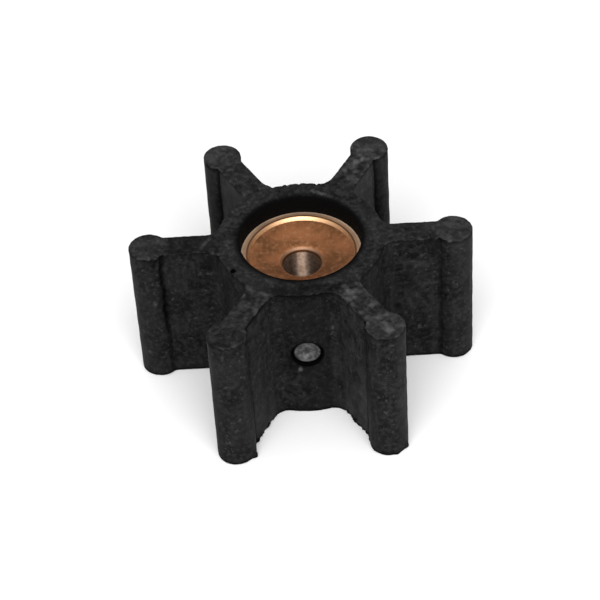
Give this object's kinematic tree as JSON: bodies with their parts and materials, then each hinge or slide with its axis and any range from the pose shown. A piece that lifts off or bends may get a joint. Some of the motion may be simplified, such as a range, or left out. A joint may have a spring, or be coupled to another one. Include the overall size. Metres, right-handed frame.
{
  "type": "flexible vane pump impeller",
  "caption": "Black rubber pump impeller with straight radial vanes ending in round bulbs, bonded on a bored bronze hub insert with a radial drive screw.",
  "frame": {"origin": "shaft axis at the lower end face of the rubber wheel", "axes": "+Z along the shaft bore towards the other end face, +X along one vane, the drive screw faces -Y"},
  "size_m": [0.0572, 0.0504, 0.0273],
  "materials": {
    "rubber": "dusty matt black moulded rubber",
    "bronze": "smooth bronze, tarnished to a copper brown",
    "steel": "dull grey screw end"
  },
  "bodies": {
    "root": {"rubber_impeller": "rubber", "hub_insert": "bronze", "drive_screw": "steel"}
  },
  "joints": []
}
